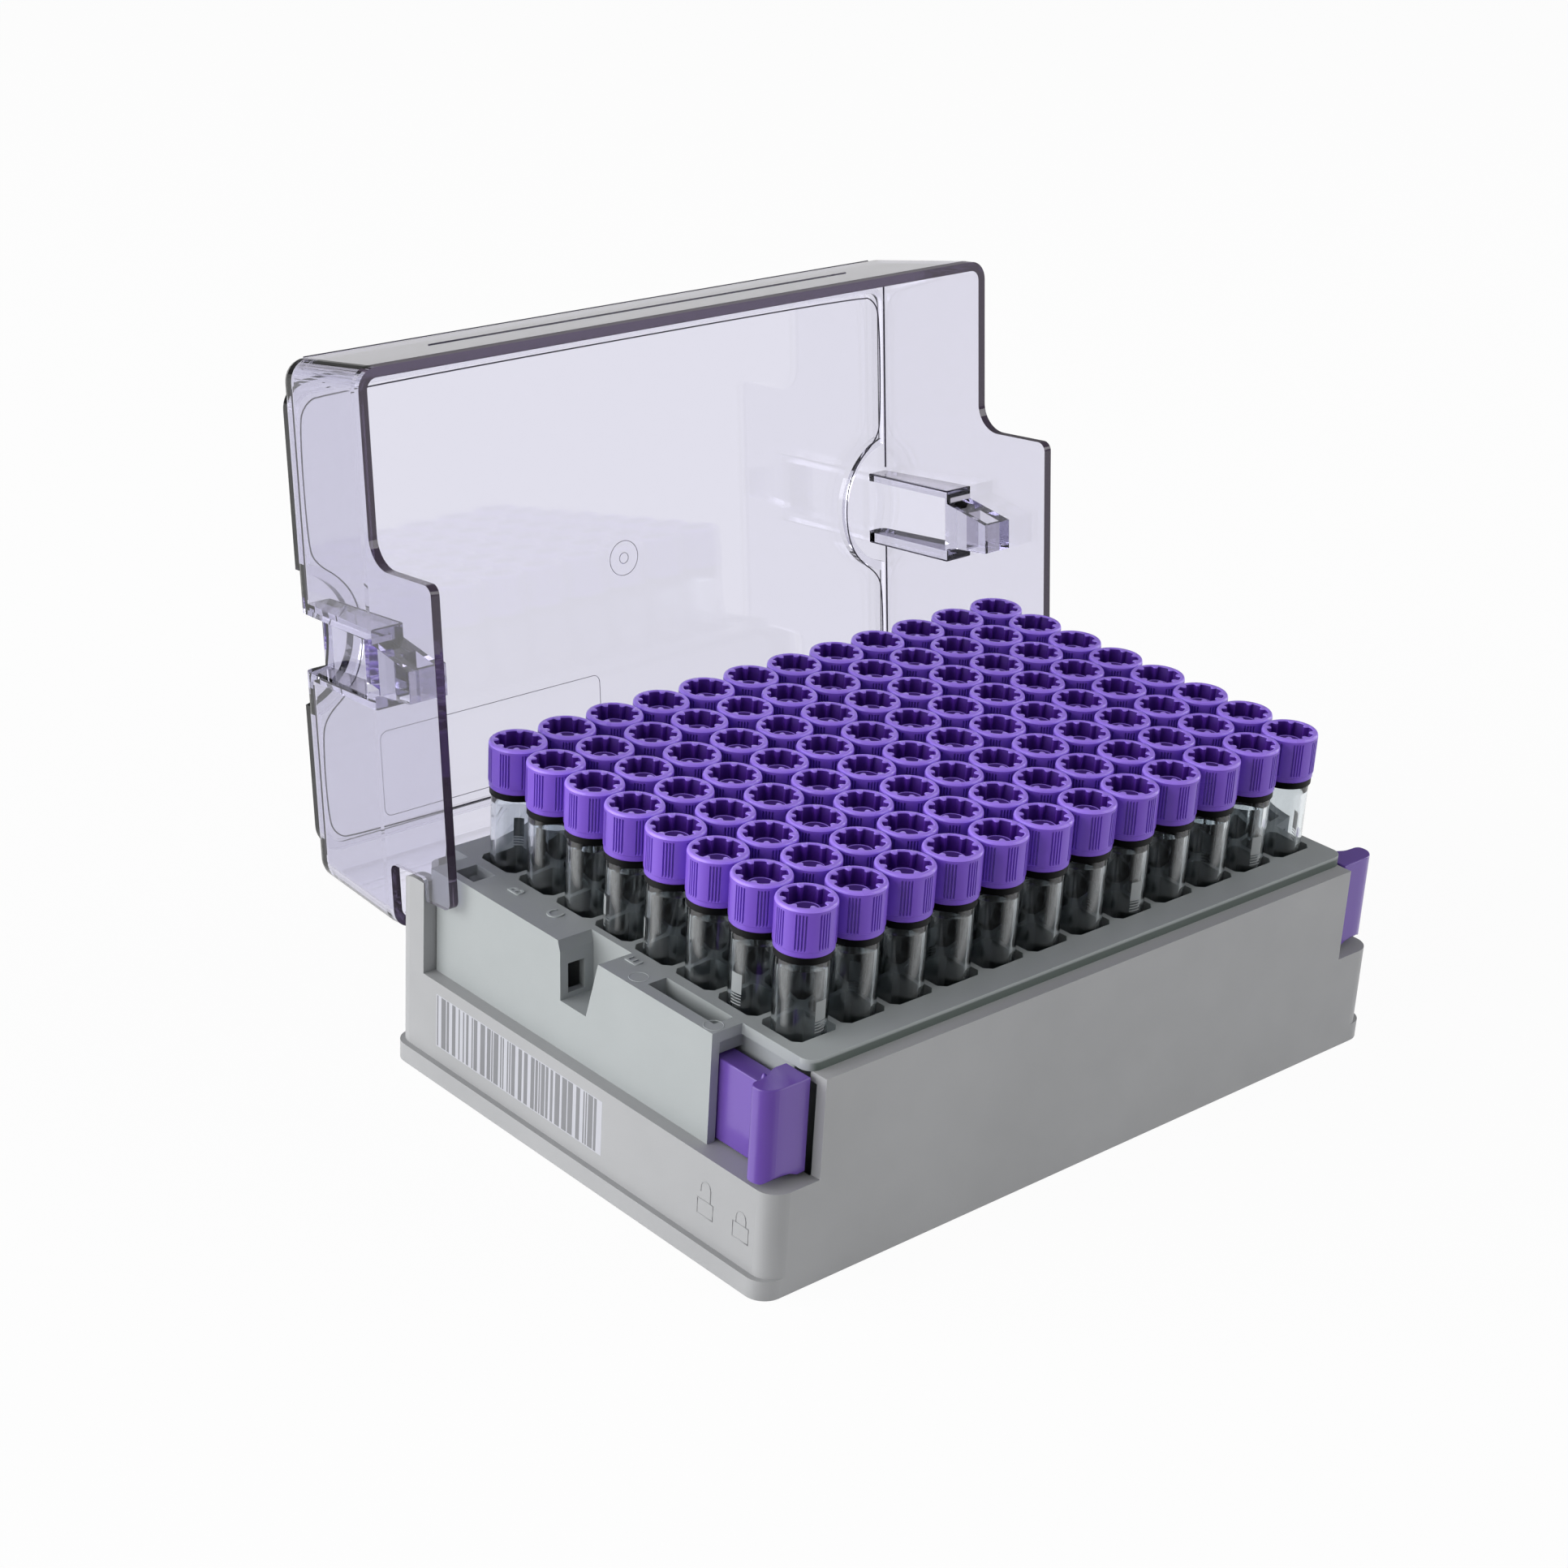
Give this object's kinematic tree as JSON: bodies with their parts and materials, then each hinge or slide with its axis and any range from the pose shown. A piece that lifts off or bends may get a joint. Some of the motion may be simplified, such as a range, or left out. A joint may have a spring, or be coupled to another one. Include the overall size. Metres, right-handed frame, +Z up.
{
  "type": "lidded sample tube rack",
  "caption": "Rack of capped sample tubes in square wells, with a clear clip-on hinged lid standing open and two sliding lid locks.",
  "frame": {"origin": "middle of the footprint on the rack's base plane, which the rack stands on", "axes": "+X along the rows from the first column to the last, +Y from row H in front to row A at the back, +Z up, out of the rack's base face"},
  "size_m": [0.1278, 0.1198, 0.1044],
  "materials": {
    "frame": "matte light grey moulded polypropylene",
    "insert": "matte light grey moulded polypropylene, a little warmer",
    "grid": "matte grey moulded polypropylene",
    "lid": "clear moulded polycarbonate with a faint violet tint",
    "lock": "gloss purple moulded plastic",
    "tube": "dark translucent polypropylene, glossy",
    "cap": "satin purple moulded plastic with drive recess",
    "seal": "black elastomer",
    "code": "black plate for a code mark"
  },
  "bodies": {
    "rack": {"outer_frame": "frame", "well_insert": "insert", "base_grid": "grid"},
    "lid": {"lid": "lid"},
    "lock_left": {"lock_slider_left": "lock"},
    "lock_right": {"lock_slider_right": "lock"},
    "tubes_a": {"tubes_row_a": "tube", "caps_row_a": "cap", "seals_row_a": "seal", "codes_row_a": "code"},
    "tubes_b": {"tubes_row_b": "tube", "caps_row_b": "cap", "seals_row_b": "seal", "codes_row_b": "code"},
    "tubes_c": {"tubes_row_c": "tube", "caps_row_c": "cap", "seals_row_c": "seal", "codes_row_c": "code"},
    "tubes_d": {"tubes_row_d": "tube", "caps_row_d": "cap", "seals_row_d": "seal", "codes_row_d": "code"},
    "tubes_e": {"tubes_row_e": "tube", "caps_row_e": "cap", "seals_row_e": "seal", "codes_row_e": "code"},
    "tubes_f": {"tubes_row_f": "tube", "caps_row_f": "cap", "seals_row_f": "seal", "codes_row_f": "code"},
    "tubes_g": {"tubes_row_g": "tube", "caps_row_g": "cap", "seals_row_g": "seal", "codes_row_g": "code"},
    "tubes_h": {"tubes_row_h": "tube", "caps_row_h": "cap", "seals_row_h": "seal", "codes_row_h": "code"},
    "tube_h1": {"tube_h1": "tube", "code_h1": "code"},
    "seal_h1": {"seal_h1": "seal"},
    "cap_h1": {"cap_h1": "cap"}
  },
  "joints": [
    {"name": "lid_hinge", "type": "hinge", "parent": "rack", "child": "lid", "pos_m": [0, 0.0379, 0.0253], "axis": [-1, 0, 0], "range_deg": [-96.5, 0]},
    {"name": "lock_left_slide", "type": "slide", "parent": "rack", "child": "lock_left", "axis": [0, 1, 0], "range_m": [0, 0.0074]},
    {"name": "lock_right_slide", "type": "slide", "parent": "rack", "child": "lock_right", "axis": [0, 1, 0], "range_m": [0, 0.0074]},
    {"name": "row_a_lift", "type": "slide", "parent": "rack", "child": "tubes_a", "axis": [0, 0, 1], "range_m": [0, 0.05]},
    {"name": "row_b_lift", "type": "slide", "parent": "rack", "child": "tubes_b", "axis": [0, 0, 1], "range_m": [0, 0.05]},
    {"name": "row_c_lift", "type": "slide", "parent": "rack", "child": "tubes_c", "axis": [0, 0, 1], "range_m": [0, 0.05]},
    {"name": "row_d_lift", "type": "slide", "parent": "rack", "child": "tubes_d", "axis": [0, 0, 1], "range_m": [0, 0.05]},
    {"name": "row_e_lift", "type": "slide", "parent": "rack", "child": "tubes_e", "axis": [0, 0, 1], "range_m": [0, 0.05]},
    {"name": "row_f_lift", "type": "slide", "parent": "rack", "child": "tubes_f", "axis": [0, 0, 1], "range_m": [0, 0.05]},
    {"name": "row_g_lift", "type": "slide", "parent": "rack", "child": "tubes_g", "axis": [0, 0, 1], "range_m": [0, 0.05]},
    {"name": "row_h_lift", "type": "slide", "parent": "rack", "child": "tubes_h", "axis": [0, 0, 1], "range_m": [0, 0.05]},
    {"name": "tube_h1_lift", "type": "slide", "parent": "rack", "child": "tube_h1", "axis": [0, 0, 1], "range_m": [0, 0.05]},
    {"name": "seal_h1_rise", "type": "slide", "parent": "tube_h1", "child": "seal_h1", "axis": [0, 0, 1], "range_m": [0, 0.003]},
    {"name": "cap_h1_turn", "type": "hinge", "parent": "seal_h1", "child": "cap_h1", "pos_m": [-0.0495, -0.0315, 0.0452], "axis": [0, 0, 1], "range_deg": [0, 540]}
  ],
  "couplings": [
    {"joint": "cap_h1_turn", "follows": "seal_h1_rise", "rad_per_m": 3141.6}
  ]
}
